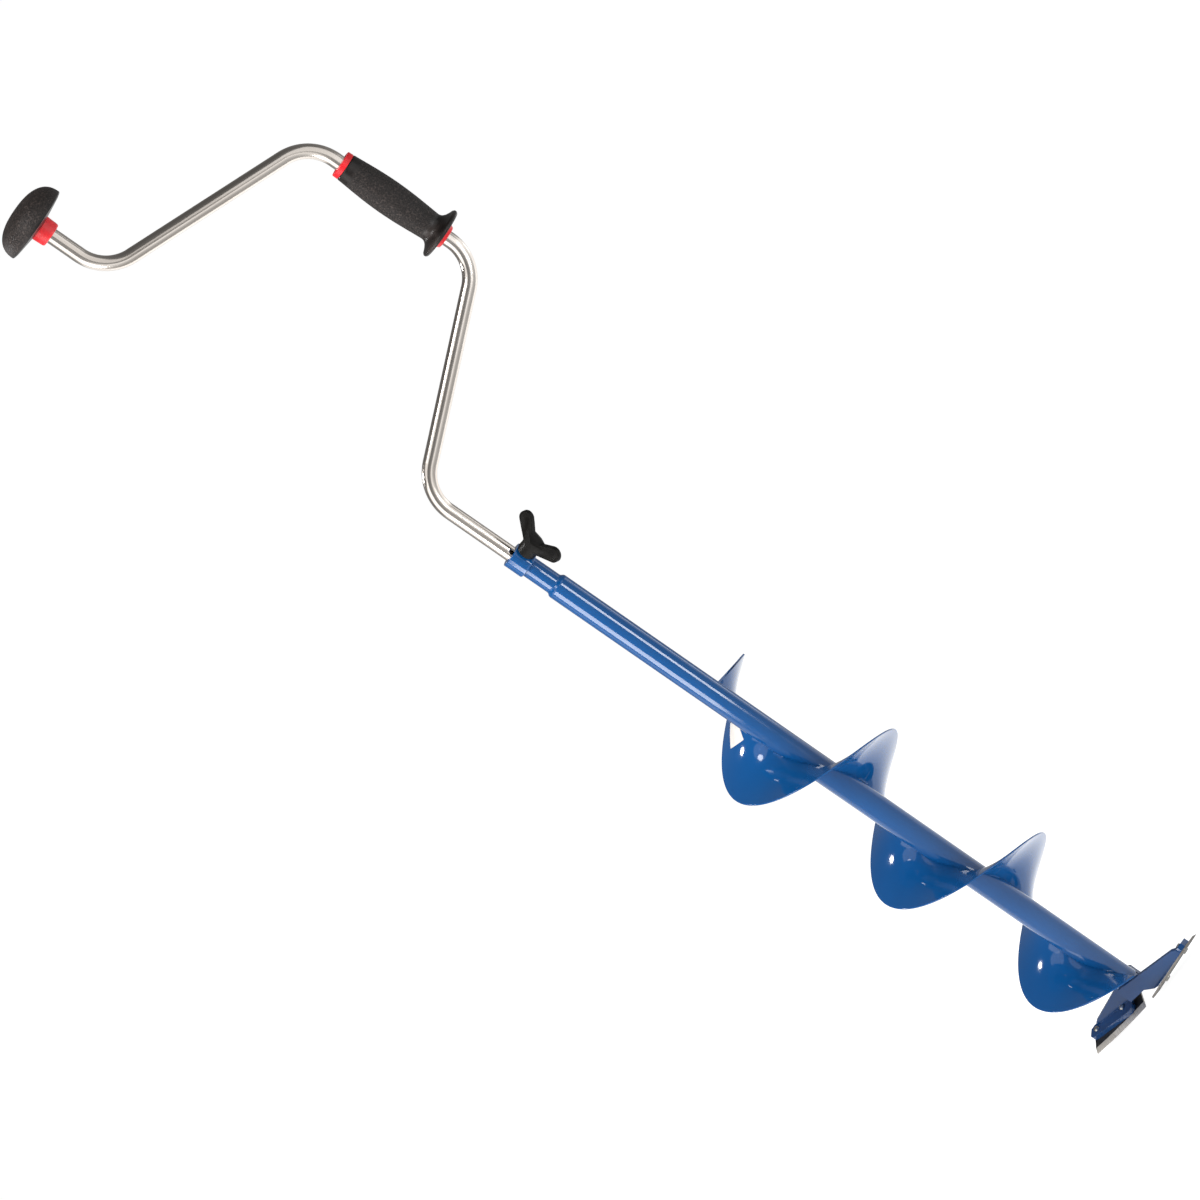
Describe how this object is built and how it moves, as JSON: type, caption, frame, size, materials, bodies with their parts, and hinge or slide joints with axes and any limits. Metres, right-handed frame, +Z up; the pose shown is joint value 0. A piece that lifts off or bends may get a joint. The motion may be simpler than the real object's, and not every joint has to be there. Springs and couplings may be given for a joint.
{
  "type": "hand ice auger",
  "caption": "Hand ice auger with a left-handed screw flight, a blade on each cutting arm and a sliding crank with spinning grip and palm knob.",
  "frame": {"origin": "on the drill axis, level with the lowest point of the blades, where the auger meets the ice", "axes": "+Z up the drill axis to the palm knob, +X to the side the crank's grip is on, +Y to the right of it by the right-hand rule"},
  "size_m": [0.3058, 0.141, 1.3055],
  "materials": {
    "blue_enamel": "gloss enamel",
    "bright_zinc_tube": "bright zinc plate with drawing marks",
    "zinc_hardware": "zinc plated",
    "blade_steel": "black oxide with a ground bevel",
    "black_rubber": "pebbled",
    "black_plastic": "fine grain",
    "red_plastic": "satin gloss",
    "blank_label": "satin film",
    "brass": "turned"
  },
  "bodies": {
    "auger": {"auger_tube": "blue_enamel", "socket_collar": "blue_enamel", "tube_end_plug": "black_plastic", "flight_lower": "blue_enamel", "flight_middle": "blue_enamel", "flight_upper": "blue_enamel", "flight_label": "blank_label", "cutter_arm_a": "blue_enamel", "cutter_arm_b": "blue_enamel", "hub_bridge": "blue_enamel", "blade_a": "blade_steel", "blade_b": "blade_steel", "blade_screws": "zinc_hardware"},
    "crank": {"crank_tube": "bright_zinc_tube", "crank_end_plug": "zinc_hardware", "knob_retaining_ring": "zinc_hardware"},
    "grip": {"grip_sleeve": "black_rubber", "grip_bush_upper": "red_plastic", "grip_bush_lower": "red_plastic"},
    "palm_knob": {"palm_pad": "black_rubber", "knob_bush": "red_plastic", "thrust_washer": "zinc_hardware"},
    "clamp_tip": {"clamp_tip": "brass"},
    "clamp_screw": {"clamp_stud": "zinc_hardware", "wing_knob": "black_plastic"}
  },
  "joints": [
    {"name": "crank_slide", "type": "slide", "parent": "auger", "child": "crank", "axis": [0, 0, 1], "range_m": [-0.068, 0.155]},
    {"name": "grip_spin", "type": "hinge", "parent": "crank", "child": "grip", "pos_m": [0.207, 0, 1.02], "axis": [0, 0, 1], "continuous": true},
    {"name": "knob_spin", "type": "hinge", "parent": "crank", "child": "palm_knob", "pos_m": [0, 0, 1.28], "axis": [0, 0, 1], "continuous": true},
    {"name": "clamp_tip_slide", "type": "slide", "parent": "auger", "child": "clamp_tip", "axis": [0.7071, -0.7071, 0], "range_m": [0, 0.0051]},
    {"name": "clamp_screw_turn", "type": "hinge", "parent": "clamp_tip", "child": "clamp_screw", "pos_m": [0, 0, 0.7356], "axis": [0.7071, -0.7071, 0], "range_deg": [0, 1440]}
  ],
  "couplings": [
    {"joint": "clamp_tip_slide", "follows": "clamp_screw_turn", "m_per_rad": 0.00019894}
  ]
}
